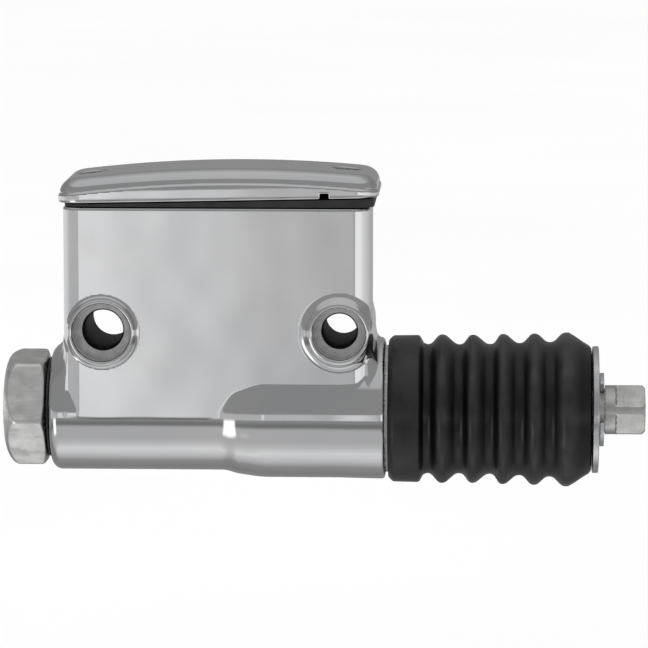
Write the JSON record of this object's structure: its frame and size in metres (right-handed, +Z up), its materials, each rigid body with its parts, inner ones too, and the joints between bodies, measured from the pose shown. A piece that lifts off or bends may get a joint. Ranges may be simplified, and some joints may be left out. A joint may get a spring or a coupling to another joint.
{
  "type": "motorcycle rear brake master cylinder",
  "caption": "Rear brake master cylinder with integral reservoir, hex-headed cartridge, corrugated rubber boot and a pushrod with a squared end.",
  "frame": {"origin": "on the plane of the two back mounting pads, midway between the mounting holes", "axes": "+X along the bore towards the pushrod, +Y out of the back mounting pads, +Z up towards the reservoir's lid"},
  "size_m": [0.1655, 0.0398, 0.0834],
  "materials": {
    "chrome_body": "polished chrome plate",
    "cartridge_steel": "dull zinc plate with tool scuffs",
    "rod_steel": "machined, matte",
    "zinc_steel": "bright zinc plate",
    "spring_steel": "dark oiled wire",
    "piston_aluminium": "hard anodised",
    "boot_rubber": "satin moulded",
    "seal_rubber": "matt moulded"
  },
  "bodies": {
    "housing": {"reservoir_body": "chrome_body", "reservoir_cover": "chrome_body", "cover_gasket": "seal_rubber", "cover_screw_left": "zinc_steel", "cover_screw_right": "zinc_steel", "cartridge_body": "cartridge_steel", "outlet_washer": "seal_rubber", "cartridge_o_ring_front": "seal_rubber", "cartridge_o_ring_rear": "seal_rubber", "stop_washer": "zinc_steel", "snap_ring": "spring_steel", "piston_spring": "spring_steel", "boot_spring": "spring_steel", "boot": "boot_rubber"},
    "push_group": {"push_washer": "zinc_steel", "e_clip": "zinc_steel"},
    "pushrod": {"pushrod": "rod_steel"},
    "piston_group": {"piston": "piston_aluminium", "primary_cup": "seal_rubber", "secondary_cup": "seal_rubber", "cup_shim": "zinc_steel", "spring_retainer": "zinc_steel"}
  },
  "joints": [
    {"name": "pushrod_stroke", "type": "slide", "parent": "housing", "child": "push_group", "axis": [-1, 0, 0], "range_m": [0, 0.012], "stiffness_N_per_m": 1500, "springref_m": -0.006, "deforming": ["boot", "boot_spring"]},
    {"name": "pushrod_spin", "type": "hinge", "parent": "push_group", "child": "pushrod", "pos_m": [0.09715, -0.0191, -0.0217], "axis": [1, 0, 0], "continuous": true},
    {"name": "piston_stroke", "type": "slide", "parent": "housing", "child": "piston_group", "axis": [-1, 0, 0], "range_m": [0, 0.012], "stiffness_N_per_m": 1200, "springref_m": -0.006, "deforming": ["piston_spring"]}
  ],
  "couplings": [
    {"joint": "piston_stroke", "follows": "pushrod_stroke", "ratio": 1}
  ]
}
